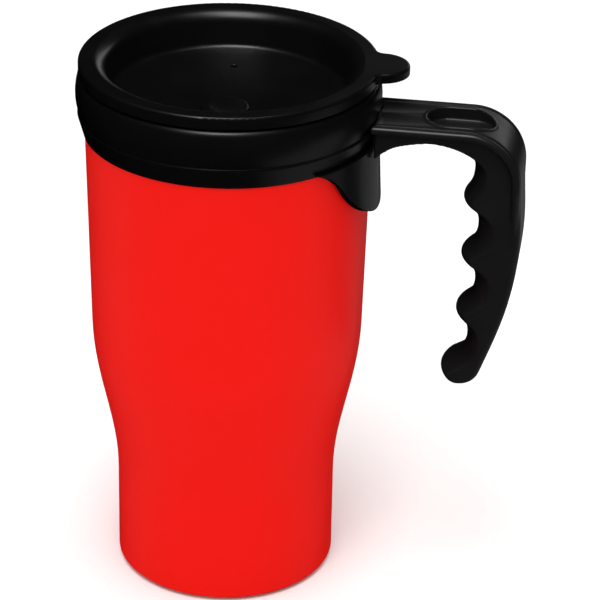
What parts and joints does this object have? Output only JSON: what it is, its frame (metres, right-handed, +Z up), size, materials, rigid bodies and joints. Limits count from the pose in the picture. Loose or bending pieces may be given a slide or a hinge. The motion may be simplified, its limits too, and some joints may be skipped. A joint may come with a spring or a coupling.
{
  "type": "insulated travel mug",
  "caption": "Double-walled travel mug with a waisted foot for cup holders, a grooved side handle and a press-in lid with a thumb slide.",
  "frame": {"origin": "centre of the base on the mug's axis, where it stands on a table", "axes": "+Z up along the mug's axis, +X from the axis towards the handle, -Y towards the drinking side of the lid"},
  "size_m": [0.1352, 0.0914, 0.1688],
  "materials": {
    "red_coated_steel": "gloss",
    "bright_steel": "satin",
    "foam": "matt foam",
    "pad_rubber": "matt",
    "black_plastic": "satin gloss",
    "slide_plastic": "fine matt",
    "seal_silicone": "matt, translucent",
    "screw_steel": "machined"
  },
  "bodies": {
    "mug": {"outer_shell": "red_coated_steel", "inner_liner": "bright_steel", "insulation_sleeve": "foam", "insulation_disc": "foam", "base_cap": "bright_steel", "base_pad": "pad_rubber", "collar": "black_plastic", "collar_o_ring": "seal_silicone", "liner_gasket": "seal_silicone", "handle": "black_plastic", "handle_screws": "screw_steel"},
    "lid_seal": {"lid_gasket": "seal_silicone"},
    "lid": {"lid_body": "black_plastic"},
    "slider": {"slider_button": "black_plastic", "slider_plate": "slide_plastic", "slider_seal": "seal_silicone"}
  },
  "joints": [
    {"name": "lid_lift", "type": "slide", "parent": "mug", "child": "lid_seal", "axis": [0, 0, 1], "range_m": [0, 0.05]},
    {"name": "lid_turn", "type": "hinge", "parent": "lid_seal", "child": "lid", "pos_m": [0, 0, 0.16], "axis": [0, 0, 1], "continuous": true},
    {"name": "slider_travel", "type": "slide", "parent": "lid", "child": "slider", "axis": [-0.0958, 0.9954, 0], "range_m": [0, 0.009]}
  ]
}
